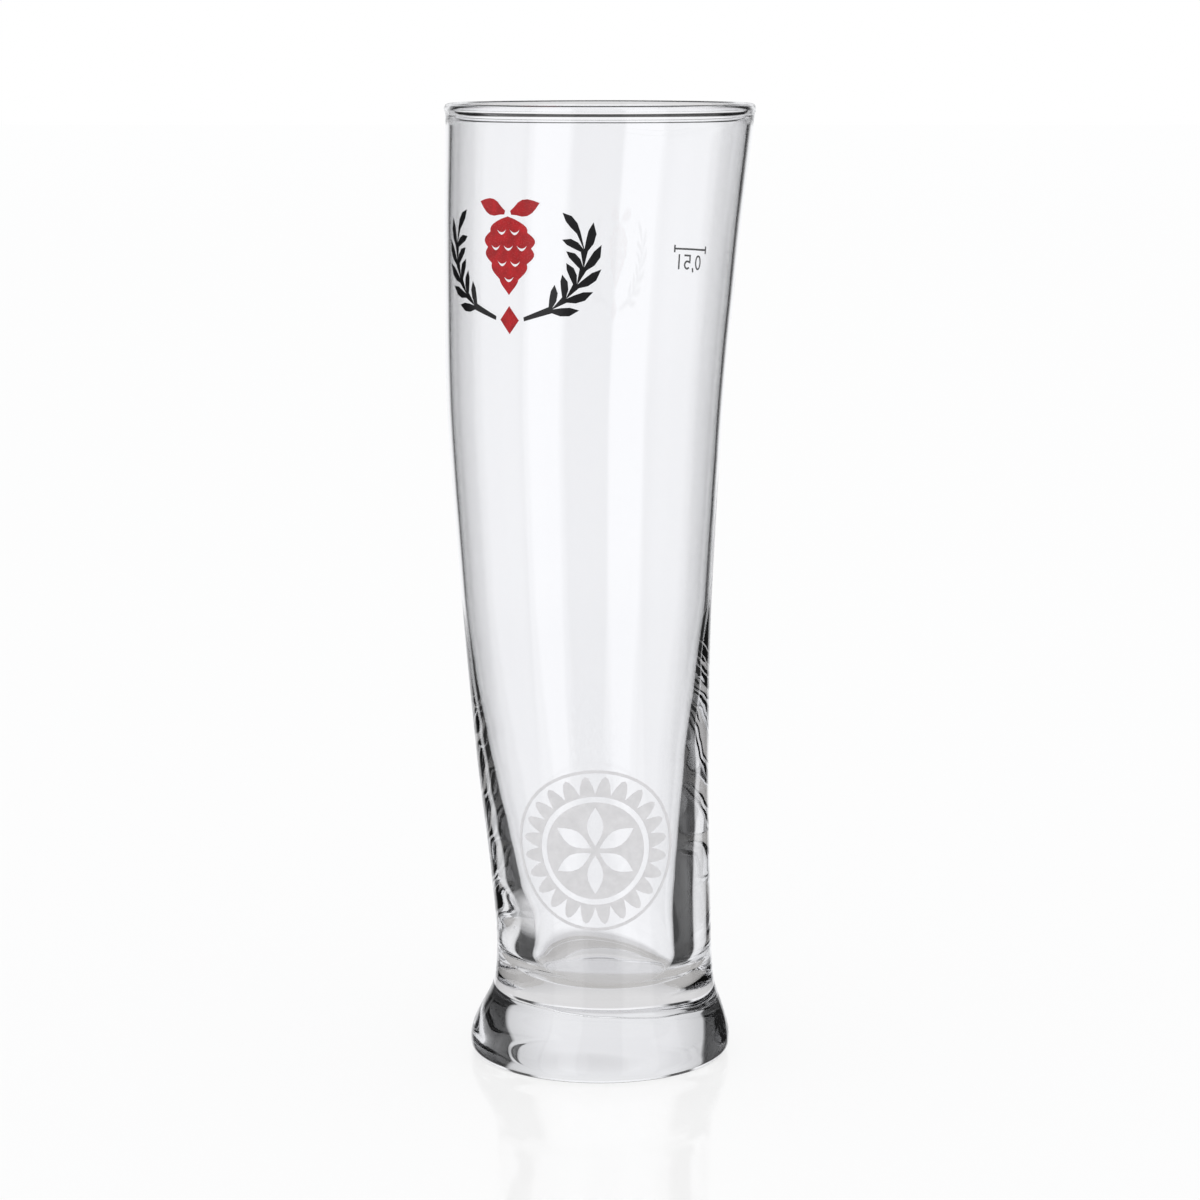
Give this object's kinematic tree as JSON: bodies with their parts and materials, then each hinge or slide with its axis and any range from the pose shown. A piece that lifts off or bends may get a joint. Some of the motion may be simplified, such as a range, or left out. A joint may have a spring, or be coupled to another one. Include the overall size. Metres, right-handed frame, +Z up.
{
  "type": "beer glass",
  "caption": "Tall clear beer glass with a heavy flared foot, a gently swayed wall and a rounded lip, with a fill mark and fired enamel prints.",
  "frame": {"origin": "centre of the foot on the surface that the glass stands on", "axes": "+Z up through the mouth; +X to the right and -Y towards the viewer, seen from the front as pictured, with the wall's lean in the XZ plane"},
  "size_m": [0.0799, 0.0798, 0.25],
  "materials": {
    "clear_glass": "clear polished soda-lime glass",
    "red_enamel": "fired red ceramic ink, slightly glossy",
    "black_enamel": "fired black ceramic ink, slightly glossy",
    "satin_enamel": "fired pale grey satin ink, matt and slightly translucent"
  },
  "bodies": {
    "root": {"glass_body": "clear_glass", "emblem_hop": "red_enamel", "emblem_leaf_left": "red_enamel", "emblem_leaf_right": "red_enamel", "emblem_ear_left": "black_enamel", "emblem_ear_right": "black_enamel", "emblem_tie": "red_enamel", "rosette_disc": "satin_enamel", "rosette_border": "satin_enamel", "rosette_ring": "satin_enamel", "fill_line": "black_enamel", "fill_figure_zero": "black_enamel", "fill_comma": "black_enamel", "fill_figure_five": "black_enamel", "fill_litre": "black_enamel"}
  },
  "joints": []
}
